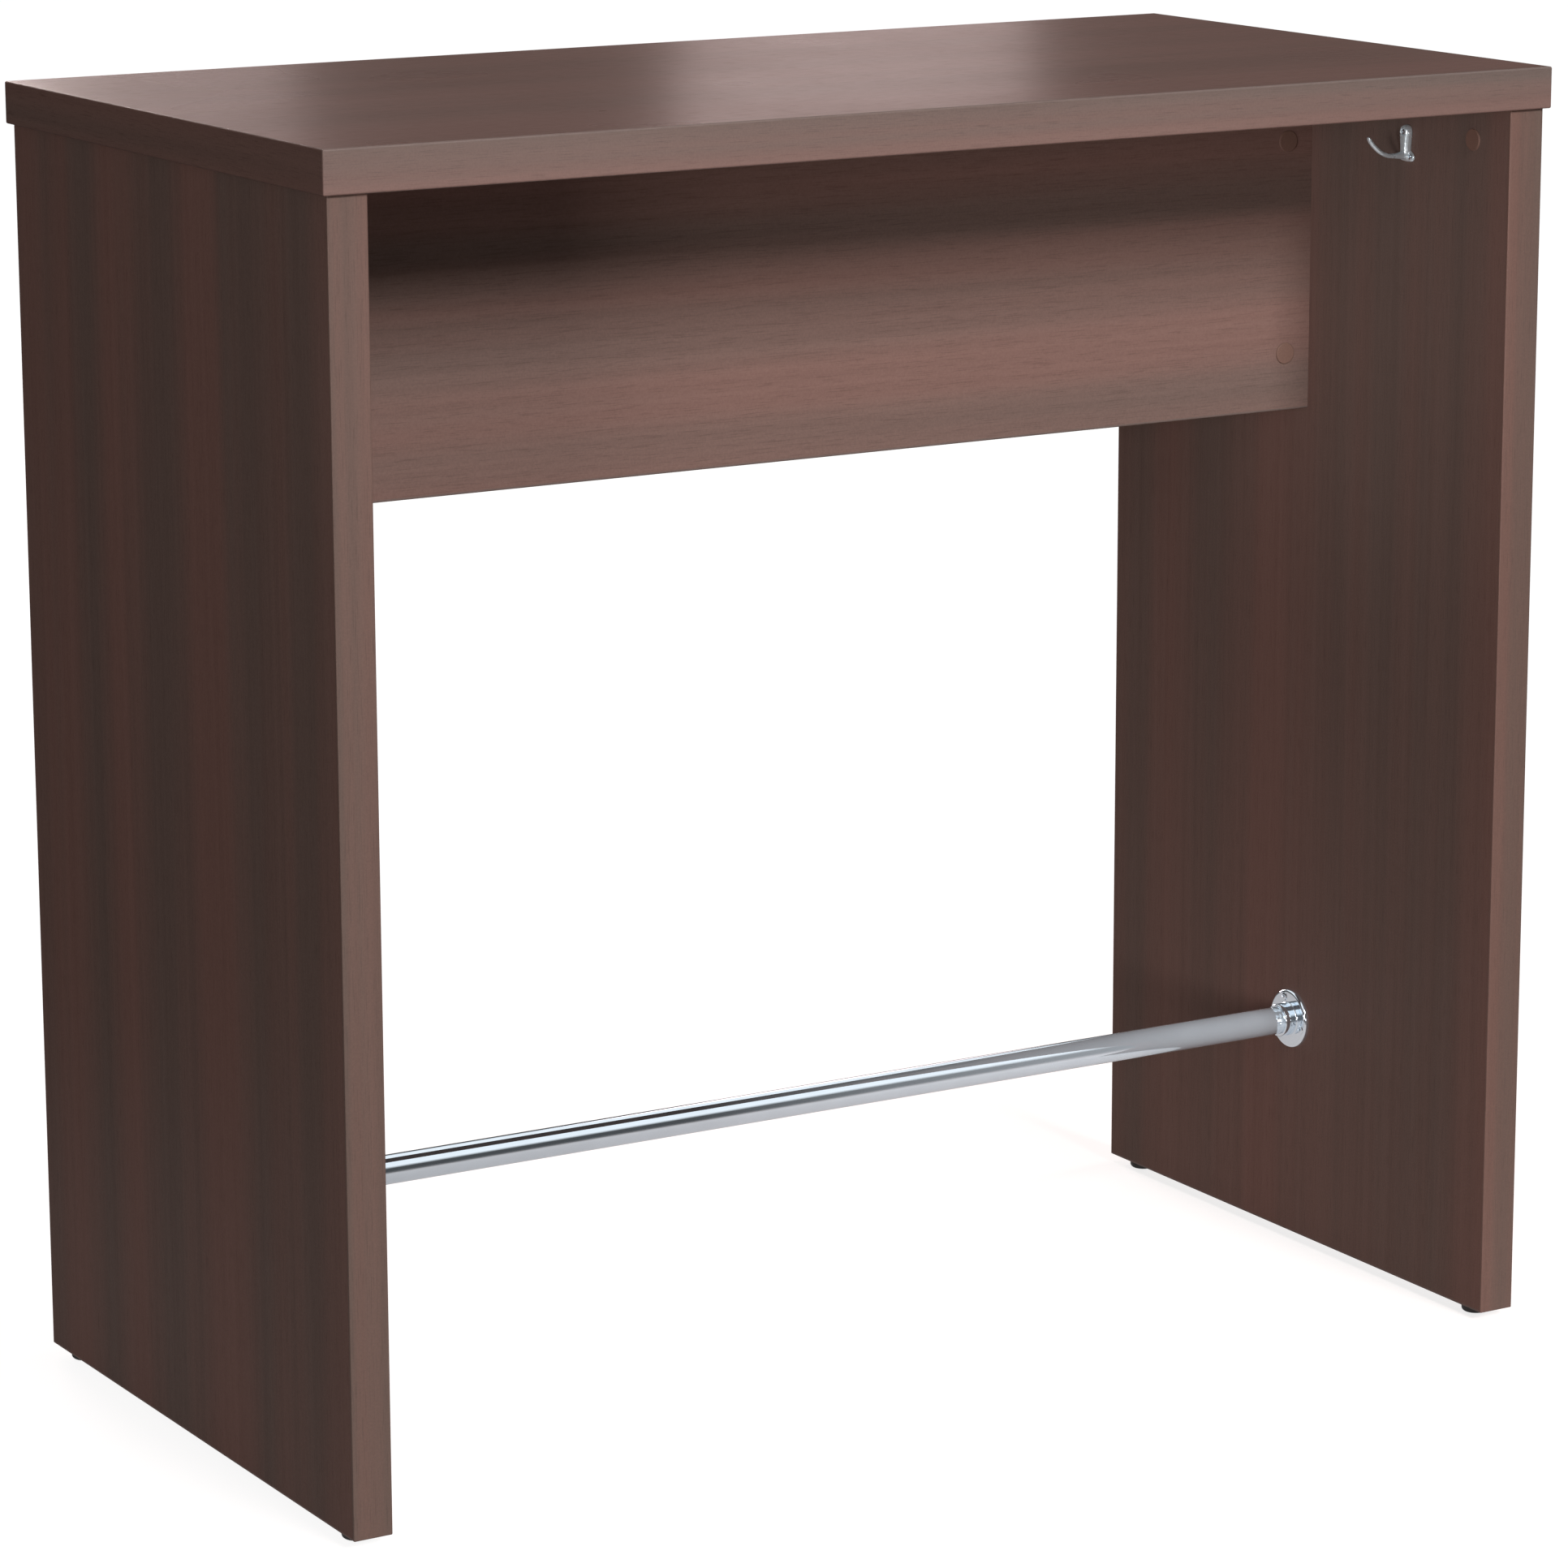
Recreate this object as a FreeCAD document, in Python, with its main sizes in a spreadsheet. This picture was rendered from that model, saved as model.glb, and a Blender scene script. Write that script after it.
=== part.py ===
import FreeCAD, Part
import math
import os
import Sketcher

V = FreeCAD.Vector
doc = FreeCAD.newDocument("StandingDesk")

# Driving sizes in millimetres. X runs along the desk, Y to its rear, Z up, and the floor is Z = 0.
sizes = [
    ("desk_width", 1150), ("desk_depth", 590), ("desk_height", 1100),
    ("top_thick", 35), ("side_thick", 34), ("overhang", 5),
    ("band_thick", 2), ("edge_round", 1.5), ("side_round", 1),
    ("modesty_height", 290), ("modesty_thick", 18),
    ("rail_height", 210), ("rail_diameter", 25), ("rail_wall", 1.5), ("rail_end_gap", 0.5),
    ("flange_diameter", 54), ("flange_thick", 4), ("collar_wall", 2.4), ("collar_length", 12),
    ("collar_groove", 0.8), ("groove_depth", 0.5),
    ("flange_screw_length", 18), ("flange_screw_diameter", 3.8), ("set_screw_diameter", 4),
    ("cam_diameter", 15), ("cam_height", 12.5), ("cam_sink", 0.3), ("cam_cross", 1.6),
    ("bolt_depth", 8), ("bolt_diameter", 7), ("bolt_thread", 6), ("bolt_grip", 11),
    ("bolt_head", 2.6), ("bolt_neck", 3), ("bolt_overrun", 2),
    ("side_cam_drop", 29.5), ("side_cam_setback", 50.5),
    ("modesty_cam_inset", 26), ("modesty_cam_edge", 51),
    ("cap_diameter", 19), ("cap_thick", 1.3), ("cap_plug", 6), ("cap_plug_length", 3),
    ("dowel_diameter", 8), ("dowel_length", 30), ("side_dowel_y", 120), ("modesty_dowel_x", 260),
    ("foot_height", 8), ("foot_diameter", 24), ("foot_setback", 30),
    ("stem_diameter", 8), ("stem_reach", 26), ("stem_seat", 5),
    ("sleeve_diameter", 12), ("sleeve_length", 22),
    ("hook_height", 32), ("hook_plate", 3), ("hook_spine", 6.5), ("hook_reach", 36), ("hook_rise", 17),
    ("hook_y", 148.5), ("hook_drop", 42.8), ("hook_screw_diameter", 2.5), ("hook_screw_length", 16),
    ("hook_seat", 1.2), ("fit_gap", 0.05), ("screw_gap", 0.1), ("slot_gap", 0.5), ("cam_tail", 0.2),
    ("hole_tail", 1), ("stem_tail", 3), ("chamfer", 1),
]
sheet = doc.addObject("Spreadsheet::Sheet", "Sizes")
for row, (alias, value) in enumerate(sizes, 1):
    sheet.set("A%d" % row, alias)
    sheet.set("B%d" % row, str(value))
    sheet.setAlias("B%d" % row, alias)
doc.recompute()

# Places that several pieces share, as expressions of the sheet
under_top = "(Sizes.desk_height - Sizes.top_thick)"
side_outer = "(Sizes.desk_width / 2 - Sizes.overhang)"
side_inner = "(Sizes.desk_width / 2 - Sizes.overhang - Sizes.side_thick)"
side_middle = "(Sizes.desk_width / 2 - Sizes.overhang - Sizes.side_thick / 2)"
side_depth = "(Sizes.desk_depth - 2 * Sizes.overhang)"
side_front = "(Sizes.desk_depth / 2 - Sizes.overhang)"
side_height = "(Sizes.desk_height - Sizes.top_thick - Sizes.foot_height)"
modesty_low = "(Sizes.desk_height - Sizes.top_thick - Sizes.modesty_height)"
modesty_face = "(Sizes.modesty_thick / 2)"
bolt_x = "(Sizes.desk_width / 2 - Sizes.overhang - Sizes.side_thick + Sizes.bolt_depth)"
bolt_y = "(Sizes.bolt_depth - Sizes.modesty_thick / 2)"
cam_y = "(Sizes.desk_depth / 2 - Sizes.overhang - Sizes.side_cam_setback)"
cam_z = "(Sizes.desk_height - Sizes.top_thick - Sizes.side_cam_drop)"
modesty_cam_x = "(Sizes.desk_width / 2 - Sizes.overhang - Sizes.side_thick - Sizes.modesty_cam_inset)"
modesty_cam_z = [
    "(Sizes.desk_height - Sizes.top_thick - Sizes.modesty_cam_edge)",
    "(Sizes.desk_height - Sizes.top_thick - Sizes.modesty_height + Sizes.modesty_cam_edge)",
]
foot_y = "(Sizes.desk_depth / 2 - Sizes.overhang - Sizes.foot_setback)"
collar_radius = "(Sizes.rail_diameter / 2 + Sizes.fit_gap + Sizes.collar_wall)"
flange_circle = "((Sizes.flange_diameter / 2 + Sizes.rail_diameter / 2 + Sizes.collar_wall) / 2)"
hook_z = "(Sizes.desk_height - Sizes.top_thick - Sizes.hook_drop)"
dowel_half = "(Sizes.dowel_length / 2)"
hook_drawn = 32


def number(text):
    return float(sheet.evalExpression(text))


def turned(direction, upward=None):
    # Rotation that lays the local Z axis along a direction, and the local Y axis along another
    if upward is None:
        return FreeCAD.Rotation(V(0, 0, 1), V(*direction))
    return FreeCAD.Rotation(V(), V(*upward), V(*direction), "ZYX")


def put(item, x, y, z, rotation=FreeCAD.Rotation()):
    item.Placement = FreeCAD.Placement(V(0, 0, 0), rotation)
    item.setExpression(".Placement.Base.x", x)
    item.setExpression(".Placement.Base.y", y)
    item.setExpression(".Placement.Base.z", z)
    return item


def box(name, corner, lengths):
    item = doc.addObject("Part::Box", name)
    for prop, text in zip(("Length", "Width", "Height"), lengths):
        item.setExpression(prop, text)
    return put(item, *corner)


def rod(name, radius, length, start, direction=(0, 0, 1)):
    item = doc.addObject("Part::Cylinder", name)
    item.setExpression("Radius", radius)
    item.setExpression("Height", length)
    return put(item, *start, rotation=turned(direction))


def common(name, base, tool):
    item = doc.addObject("Part::Common", name)
    item.Base = base
    item.Tool = tool
    return item


def cut(name, base, tools):
    item = doc.addObject("Part::Cut", name)
    item.Base = base
    if len(tools) == 1:
        item.Tool = tools[0]
        return item
    joined = doc.addObject("Part::MultiFuse", name + "Tools")
    joined.Shapes = tools
    item.Tool = joined
    return item


def link(name, master, x, y, z, rotation):
    item = doc.addObject("App::Link", name)
    item.LinkedObject = master
    item.LinkTransform = False
    return put(item, x, y, z, rotation)


def group(name, members):
    item = doc.addObject("Part::Compound", name)
    item.Links = members
    return item


def plane(body, role):
    return [f for f in body.Origin.OriginFeatures if f.Role == role][0]


def turned_piece(name, profile):
    # A body of revolution about its own Z axis. The profile lists radius and height, both from zero up.
    body = doc.addObject("PartDesign::Body", name)
    sketch = body.newObject("Sketcher::SketchObject", name + "Profile")
    sketch.AttachmentSupport = (plane(body, "XZ_Plane"), [""])
    sketch.MapMode = "FlatFace"
    points = [V(number(r), number(h), 0) for r, h in profile]
    count = len(points)
    for i in range(count):
        sketch.addGeometry(Part.LineSegment(points[i], points[(i + 1) % count]), False)
    for i in range(count):
        sketch.addConstraint(Sketcher.Constraint("Coincident", i, 2, (i + 1) % count, 1))
    for i, (r, h) in enumerate(profile):
        places = (("DistanceX", r, points[i].x, -2), ("DistanceY", h, points[i].y, -1))
        for kind, text, value, axis in places:
            if text == "0":
                sketch.addConstraint(Sketcher.Constraint("PointOnObject", i, 1, axis))
                continue
            index = sketch.addConstraint(Sketcher.Constraint(kind, -1, 1, i, 1, value))
            sketch.setExpression("Constraints[%d]" % index, text)
    turn = body.newObject("PartDesign::Revolution", name + "Turn")
    turn.Profile = sketch
    turn.ReferenceAxis = (sketch, ["V_Axis"])
    turn.Angle = 360
    doc.recompute()
    return body


def ease(body, name, rings, radius):
    # Rounds the circular edges that lie at the given radius and height
    base = body.Tip
    names = []
    for r, h in rings:
        for k, edge in enumerate(base.Shape.Edges, 1):
            round_edge = isinstance(edge.Curve, Part.Circle) and abs(edge.Curve.Radius - number(r)) < 1e-4
            if round_edge and abs(edge.Curve.Center.z - number(h)) < 1e-4:
                names.append("Edge%d" % k)
    item = body.newObject("PartDesign::Fillet", name)
    item.Base = (base, names)
    item.setExpression("Radius", radius)
    doc.recompute()
    return body


def eased_slab(name, corner, lengths, radius, keep):
    # A board whose outer arrises are rounded, but for those that the keep test names
    plain = box(name + "Plain", corner, lengths)
    doc.recompute()
    edges = [k for k, e in enumerate(plain.Shape.Edges, 1) if not keep(e.CenterOfMass)]
    item = doc.addObject("Part::Fillet", name)
    item.Base = plain
    item.Edges = [(k, number(radius), number(radius)) for k in edges]
    return item


nodes = []


def node(item, label):
    item.Label = label
    nodes.append(item)
    return item


def signed(sign, text):
    return "%d * %s" % (sign, text)


# Cam disc: a slot at the depth of the bolt takes the bolt's head, and a cross takes the screwdriver.
cam_plain = rod("CamPlain", "Sizes.cam_diameter / 2", "Sizes.cam_height", ("0", "0", "0"))
slot_half = "(Sizes.bolt_diameter / 2 + Sizes.slot_gap)"
cam_slot = box(
    "CamSlot", ("-" + slot_half, "-Sizes.bolt_overrun - 2 * Sizes.slot_gap",
                "Sizes.bolt_depth - Sizes.cam_sink - " + slot_half),
    ("2 * " + slot_half, "Sizes.cam_diameter", "2 * " + slot_half))
cam_socket = rod(
    "CamSocket", "Sizes.cap_plug / 2 + Sizes.fit_gap", "Sizes.cap_plug_length + Sizes.cam_tail",
    ("0", "0", "0"))
cross_long = "2 * Sizes.cam_diameter / 3"
cam_cross_a = box(
    "CamCrossA", ("-Sizes.cam_diameter / 3", "-Sizes.cam_cross / 2", "0"),
    (cross_long, "Sizes.cam_cross", "Sizes.cam_cross"))
cam_cross_b = box(
    "CamCrossB", ("-Sizes.cam_cross / 2", "-Sizes.cam_diameter / 3", "0"),
    ("Sizes.cam_cross", cross_long, "Sizes.cam_cross"))
cam = cut("CamDisc", cam_plain, [cam_slot, cam_socket, cam_cross_a, cam_cross_b])


def bolt(name, inset):
    # Cam bolt from its head up: head, neck, shank in the edge bore, thread in the other board
    neck = "(Sizes.bolt_head + Sizes.chamfer)"
    shank = "(Sizes.bolt_head + 2 * Sizes.chamfer + Sizes.bolt_neck)"
    top = "(%s + Sizes.bolt_overrun)" % inset
    return turned_piece(name, [
        ("0", "0"), ("Sizes.bolt_diameter / 2", "0"), ("Sizes.bolt_diameter / 2", "Sizes.bolt_head"),
        ("Sizes.bolt_diameter / 3", neck), ("Sizes.bolt_diameter / 3", neck + " + Sizes.bolt_neck"),
        ("Sizes.bolt_diameter / 2", shank), ("Sizes.bolt_diameter / 2", top),
        ("Sizes.bolt_thread / 2", top),
        ("Sizes.bolt_thread / 2", top + " + Sizes.bolt_grip - Sizes.chamfer"),
        ("Sizes.bolt_thread / 2 - Sizes.chamfer", top + " + Sizes.bolt_grip"),
        ("0", top + " + Sizes.bolt_grip")])


side_bolt = bolt("SideBolt", "Sizes.side_cam_drop")
modesty_bolt = bolt("ModestyBolt", "Sizes.modesty_cam_inset")

# Cover cap: a low dome on the board's face, with a plug that snaps into the cam
cap = turned_piece("CoverCap", [
    ("0", "0"), ("Sizes.cap_plug / 2", "0"), ("Sizes.cap_plug / 2", "Sizes.cap_plug_length"),
    ("Sizes.cap_diameter / 2", "Sizes.cap_plug_length"),
    ("Sizes.cap_diameter / 2", "Sizes.cap_plug_length + Sizes.cap_thick"),
    ("0", "Sizes.cap_plug_length + Sizes.cap_thick")])
ease(cap, "CoverCapEase", [("Sizes.cap_diameter / 2", "Sizes.cap_plug_length + Sizes.cap_thick")],
     "Sizes.cap_thick * 0.7")

# Dowel pin with chamfered ends
dowel = turned_piece("DowelPin", [
    ("0", "0"), ("Sizes.dowel_diameter / 2 - Sizes.chamfer", "0"),
    ("Sizes.dowel_diameter / 2", "Sizes.chamfer"),
    ("Sizes.dowel_diameter / 2", "Sizes.dowel_length - Sizes.chamfer"),
    ("Sizes.dowel_diameter / 2 - Sizes.chamfer", "Sizes.dowel_length"), ("0", "Sizes.dowel_length")])


def wood_screw(name, diameter, length):
    # Raised countersunk screw from its point up. Its head is as wide as twice the shank.
    radius = "%s / 2" % diameter
    plain = turned_piece(name + "Plain", [
        ("0", "0"), (radius, diameter), (radius, "%s - %s / 2" % (length, diameter)),
        (diameter, length), ("%s * 0.8" % diameter, "%s + %s * 0.12" % (length, diameter)),
        ("%s * 0.45" % diameter, "%s + %s * 0.2" % (length, diameter)),
        ("0", "%s + %s * 0.22" % (length, diameter))])
    low = "%s - %s * 0.2" % (length, diameter)
    slot_a = box(name + "SlotA", ("-%s * 0.5" % diameter, "-%s * 0.1" % diameter, low),
                 (diameter, "%s * 0.2" % diameter, diameter))
    slot_b = box(name + "SlotB", ("-%s * 0.1" % diameter, "-%s * 0.5" % diameter, low),
                 ("%s * 0.2" % diameter, diameter, diameter))
    return cut(name, plain, [slot_a, slot_b])


def screw_hole(name, diameter, depth):
    # The clearance a countersunk screw takes through a plate of the given depth, from its lower face up
    radius = "(%s / 2 + Sizes.screw_gap)" % diameter
    wide = "(%s + 1.5 * Sizes.screw_gap)" % diameter
    return turned_piece(name, [
        ("0", "0"), (radius, "0"), (radius, "%s - %s / 2 - Sizes.screw_gap / 2" % (depth, diameter)),
        (wide, depth), (wide, "%s + %s" % (depth, diameter)), ("0", "%s + %s" % (depth, diameter))])


flange_screw = wood_screw("FlangeScrew", "Sizes.flange_screw_diameter", "Sizes.flange_screw_length")
hook_screw = wood_screw("HookScrew", "Sizes.hook_screw_diameter", "Sizes.hook_screw_length")
flange_hole = screw_hole("FlangeHole", "Sizes.flange_screw_diameter", "Sizes.flange_thick")

# Set screw: a short headless screw with a socket in its outer end
set_length = "(Sizes.collar_wall + Sizes.fit_gap)"
set_screw = turned_piece("SetScrew", [
    ("0", "0"), ("Sizes.set_screw_diameter / 2", "0"), ("Sizes.set_screw_diameter / 2", set_length),
    ("Sizes.set_screw_diameter / 4", set_length), ("Sizes.set_screw_diameter / 4", set_length + " / 2"),
    ("0", set_length + " / 2")])

# Rail flange: disc against the panel and a grooved collar round the tube, with three countersunk holes
# in the disc and one for the set screw in the collar
collar_end = "(Sizes.flange_thick + Sizes.collar_length)"
groove_low = "(Sizes.flange_thick + Sizes.collar_length * 0.37)"
groove_high = groove_low + " + Sizes.collar_groove"
groove_floor = collar_radius + " - Sizes.groove_depth"
flange = turned_piece("FlangeTurned", [
    ("Sizes.rail_diameter / 2 + Sizes.fit_gap", "0"), ("Sizes.flange_diameter / 2", "0"),
    ("Sizes.flange_diameter / 2", "Sizes.flange_thick"), (collar_radius, "Sizes.flange_thick"),
    (collar_radius, groove_low), (groove_floor, groove_low),
    (groove_floor, groove_high), (collar_radius, groove_high),
    (collar_radius, collar_end), ("Sizes.rail_diameter / 2 + Sizes.fit_gap", collar_end)])
ease(flange, "FlangeRim", [("Sizes.flange_diameter / 2", "Sizes.flange_thick")], "Sizes.flange_thick * 0.6")
ease(flange, "FlangeMouth", [(collar_radius, collar_end)], "Sizes.collar_wall * 0.45")
ease(flange, "FlangeRoot", [(collar_radius, "Sizes.flange_thick")], "Sizes.collar_wall * 0.4")
screw_angles = [math.radians(a) for a in (-14, 106, 226)]
set_height = "(Sizes.flange_thick + Sizes.collar_length * 0.66)"


def flange_node(name, sign):
    tools = []
    for k, a in enumerate(screw_angles):
        x = "%s * %.6f" % (flange_circle, math.sin(a))
        y = "%s * %.6f" % (flange_circle, math.cos(a))
        tools.append(link("%sHole%d" % (name, k), flange_hole, x, y, "0", turned((0, 0, 1))))
    tools.append(rod(name + "SetHole", "Sizes.set_screw_diameter / 2 + Sizes.fit_gap",
                     "Sizes.rail_diameter", ("0", "0", set_height), (0, -1, 0)))
    item = cut(name, flange, tools)
    return put(item, signed(sign, side_inner), "0", "Sizes.rail_height", turned((-sign, 0, 0), (0, 0, 1)))


# Levelling foot: pad with a rounded tread, stem moulded into it, sleeve in the panel's lower edge
foot_pad = turned_piece("FootPad", [
    ("0", "0"), ("Sizes.foot_diameter / 2", "0"), ("Sizes.foot_diameter / 2", "Sizes.foot_height"),
    ("Sizes.stem_diameter / 2", "Sizes.foot_height"),
    ("Sizes.stem_diameter / 2", "Sizes.foot_height - Sizes.stem_seat"),
    ("0", "Sizes.foot_height - Sizes.stem_seat")])
ease(foot_pad, "FootTread", [("Sizes.foot_diameter / 2", "0")], "Sizes.foot_height * 0.42")
ease(foot_pad, "FootShoulder", [("Sizes.foot_diameter / 2", "Sizes.foot_height")],
     "Sizes.foot_height * 0.12")
stem_length = "(Sizes.stem_seat + Sizes.stem_reach)"
foot_stem = turned_piece("FootStem", [
    ("0", "0"), ("Sizes.stem_diameter / 2", "0"),
    ("Sizes.stem_diameter / 2", stem_length + " - Sizes.chamfer"),
    ("Sizes.stem_diameter / 2 - Sizes.chamfer", stem_length), ("0", stem_length)])
sleeve = turned_piece("FootSleeve", [
    ("Sizes.stem_diameter / 2 + Sizes.fit_gap", "0"), ("Sizes.sleeve_diameter / 2", "0"),
    ("Sizes.sleeve_diameter / 2", "Sizes.sleeve_length"),
    ("Sizes.stem_diameter / 2 + Sizes.fit_gap", "Sizes.sleeve_length")])

# Top panel: core board with all its bores in the underside, and a band on each of its four edges
top_slab = eased_slab(
    "TopSlab", ("-Sizes.desk_width / 2", "-Sizes.desk_depth / 2", under_top),
    ("Sizes.desk_width", "Sizes.desk_depth", "Sizes.top_thick"), "Sizes.edge_round", lambda c: False)
core_width = "Sizes.desk_width - 2 * Sizes.band_thick"
core_depth = "Sizes.desk_depth - 2 * Sizes.band_thick"
top_inner = box(
    "TopInner", ("-Sizes.desk_width / 2 + Sizes.band_thick",
                 "-Sizes.desk_depth / 2 + Sizes.band_thick", under_top),
    (core_width, core_depth, "Sizes.top_thick"))
bolt_bore = "Sizes.bolt_thread / 2 + Sizes.fit_gap"
dowel_bore = "Sizes.dowel_diameter / 2 + Sizes.fit_gap"
dowel_depth = "Sizes.dowel_length / 2 + Sizes.hole_tail"
cam_depth = "Sizes.cam_height + Sizes.cam_sink + Sizes.cam_tail"
ends = ((1, 1), (1, -1), (-1, 1), (-1, -1))
top_bores = []
for k, (sx, sy) in enumerate(ends):
    top_bores.append(rod("TopBoltBore%d" % k, bolt_bore, "Sizes.bolt_grip + Sizes.hole_tail",
                         (signed(sx, bolt_x), signed(sy, cam_y), under_top)))
    top_bores.append(rod("TopDowelBore%d" % k, dowel_bore, dowel_depth,
                         (signed(sx, side_middle), signed(sy, "Sizes.side_dowel_y"), under_top)))
for k, sx in enumerate((1, -1)):
    top_bores.append(rod("TopModestyBore%d" % k, dowel_bore, dowel_depth,
                         (signed(sx, "Sizes.modesty_dowel_x"), "0", under_top)))
node(cut("TopCore", common("TopBoard", top_slab, top_inner), top_bores), "top_panel")
for label, sy in (("top_front_band", -1), ("top_rear_band", 1)):
    y = "-Sizes.desk_depth / 2" if sy < 0 else "Sizes.desk_depth / 2 - Sizes.band_thick"
    strip = box(label + "_strip", ("-Sizes.desk_width / 2", y, under_top),
                ("Sizes.desk_width", "Sizes.band_thick", "Sizes.top_thick"))
    node(common(label + "_cut", top_slab, strip), label)
for label, sx in (("top_left_band", -1), ("top_right_band", 1)):
    x = "-Sizes.desk_width / 2" if sx < 0 else "Sizes.desk_width / 2 - Sizes.band_thick"
    strip = box(label + "_strip", (x, "-Sizes.desk_depth / 2 + Sizes.band_thick", under_top),
                ("Sizes.band_thick", core_depth, "Sizes.top_thick"))
    node(common(label + "_cut", top_slab, strip), label)


def hook_places():
    # The hook's three screws: distance to the rear and up from its middle, and the thickness under the head
    unit = number("Sizes.hook_height") / hook_drawn
    plate = number("Sizes.hook_plate")
    low = -9.3 * unit
    return [(0.0, 11.8 * unit, number("Sizes.hook_spine - Sizes.hook_seat")),
            (6.9 * unit, low, plate), (-6.9 * unit, low, plate)]


def side_panel(word, sign):
    # Side panel: bores for the cams, bolts, dowels, flange screws and sleeves, and bands on three edges
    name = word.capitalize() + "Side"
    inner = signed(sign, side_inner)
    out = (sign, 0, 0)
    low_x = side_inner if sign > 0 else "-" + side_outer
    slab = eased_slab(
        name + "Slab", (low_x, "-" + side_front, "Sizes.foot_height"),
        ("Sizes.side_thick", side_depth, side_height), "Sizes.side_round",
        lambda c: c.z > number(under_top) - 1e-6)
    core = box(name + "Inner", (low_x, "-" + side_front + " + Sizes.band_thick",
                                "Sizes.foot_height + Sizes.band_thick"),
               ("Sizes.side_thick", side_depth + " - 2 * Sizes.band_thick",
                side_height + " - Sizes.band_thick"))
    bores = []
    foot_bores = []
    for k, sy in enumerate((1, -1)):
        tag = name + str(k)
        bores.append(rod(tag + "CamBore", "Sizes.cam_diameter / 2 + Sizes.fit_gap",
                         cam_depth, (inner, signed(sy, cam_y), cam_z), out))
        bores.append(rod(tag + "BoltBore", slot_half, "Sizes.side_cam_drop",
                         (signed(sign, bolt_x), signed(sy, cam_y), cam_z)))
        dowel_spot = (signed(sign, side_middle), signed(sy, "Sizes.side_dowel_y"), under_top)
        bores.append(rod(tag + "DowelBore", dowel_bore, dowel_depth, dowel_spot, (0, 0, -1)))
        foot = (signed(sign, side_middle), signed(sy, foot_y), "Sizes.foot_height")
        foot_bores.append(rod(tag + "SleeveBore", "Sizes.sleeve_diameter / 2", "Sizes.sleeve_length", foot))
        foot_bores.append(rod(tag + "StemBore", "Sizes.stem_diameter / 2 + Sizes.slot_gap",
                              "Sizes.stem_reach + Sizes.stem_tail", foot))
    for k, z in enumerate(modesty_cam_z):
        bores.append(rod(name + "ModestyBolt%d" % k, bolt_bore, "Sizes.bolt_grip + Sizes.hole_tail",
                         (inner, bolt_y, z), out))
    bores.append(rod(name + "ModestyDowel", dowel_bore, dowel_depth,
                     (inner, "0", modesty_low + " + Sizes.modesty_height / 2"), out))
    for k, a in enumerate(screw_angles):
        y = "%.6f * %s" % (-sign * math.sin(a), flange_circle)
        z = "Sizes.rail_height + %.6f * %s" % (math.cos(a), flange_circle)
        bores.append(rod(name + "FlangeScrew%d" % k, "Sizes.flange_screw_diameter / 2 + Sizes.fit_gap",
                         "Sizes.flange_screw_length - Sizes.flange_thick + Sizes.hole_tail",
                         (inner, y, z), out))
    if sign > 0:
        for k, (dy, dz, lift) in enumerate(hook_places()):
            bores.append(rod(name + "HookScrew%d" % k, "Sizes.hook_screw_diameter / 2 + Sizes.fit_gap",
                             "Sizes.hook_screw_length - %.4f + Sizes.hole_tail" % lift,
                             (inner, "%.4f - Sizes.hook_y" % dy, "%s + %.4f" % (hook_z, dz)), out))
    node(cut(name + "Core", common(name + "Board", slab, core), bores + foot_bores), word + "_side_panel")
    tall = ("Sizes.side_thick", "Sizes.band_thick", side_height)
    for place, y in (("front", "-" + side_front), ("rear", side_front + " - Sizes.band_thick")):
        strip = box(name + place + "Strip", (low_x, y, "Sizes.foot_height"), tall)
        node(common(name + place + "Band", slab, strip), "%s_side_%s_band" % (word, place))
    strip = box(name + "LowStrip", (low_x, "-" + side_front + " + Sizes.band_thick", "Sizes.foot_height"),
                ("Sizes.side_thick", side_depth + " - 2 * Sizes.band_thick", "Sizes.band_thick"))
    low_band = common(name + "LowPlain", slab, strip)
    node(cut(name + "LowBand", low_band, foot_bores), word + "_side_bottom_band")


side_panel("left", -1)
side_panel("right", 1)

# Modesty panel: board between the side panels, with a band on its lower edge
modesty_slab = eased_slab(
    "ModestySlab", ("-" + side_inner, "-" + modesty_face, modesty_low),
    ("2 * " + side_inner, "Sizes.modesty_thick", "Sizes.modesty_height"), "Sizes.side_round",
    lambda c: c.z > number(modesty_low) + 1e-6 or abs(c.x) > 1)
modesty_upper = box(
    "ModestyUpper", ("-" + side_inner, "-" + modesty_face, modesty_low + " + Sizes.band_thick"),
    ("2 * " + side_inner, "Sizes.modesty_thick", "Sizes.modesty_height - Sizes.band_thick"))
modesty_bores = []
for k, sx in enumerate((1, -1)):
    for j, z in enumerate(modesty_cam_z):
        tag = "Modesty%d%d" % (k, j)
        modesty_bores.append(rod(tag + "CamBore", "Sizes.cam_diameter / 2 + Sizes.fit_gap", cam_depth,
                                 (signed(sx, modesty_cam_x), "-" + modesty_face, z), (0, 1, 0)))
        modesty_bores.append(rod(tag + "BoltBore", slot_half, "Sizes.modesty_cam_inset",
                                 (signed(sx, modesty_cam_x), bolt_y, z), (sx, 0, 0)))
    modesty_bores.append(rod("ModestyEndDowel%d" % k, dowel_bore, dowel_depth,
                             (signed(sx, side_inner), "0", modesty_low + " + Sizes.modesty_height / 2"),
                             (-sx, 0, 0)))
    modesty_bores.append(rod("ModestyTopDowel%d" % k, dowel_bore, dowel_depth,
                             (signed(sx, "Sizes.modesty_dowel_x"), "0", under_top), (0, 0, -1)))
modesty_board = common("ModestyBoard", modesty_slab, modesty_upper)
node(cut("ModestyCore", modesty_board, modesty_bores), "modesty_panel")
modesty_strip = box("ModestyStrip", ("-" + side_inner, "-" + modesty_face, modesty_low),
                    ("2 * " + side_inner, "Sizes.modesty_thick", "Sizes.band_thick"))
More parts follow.
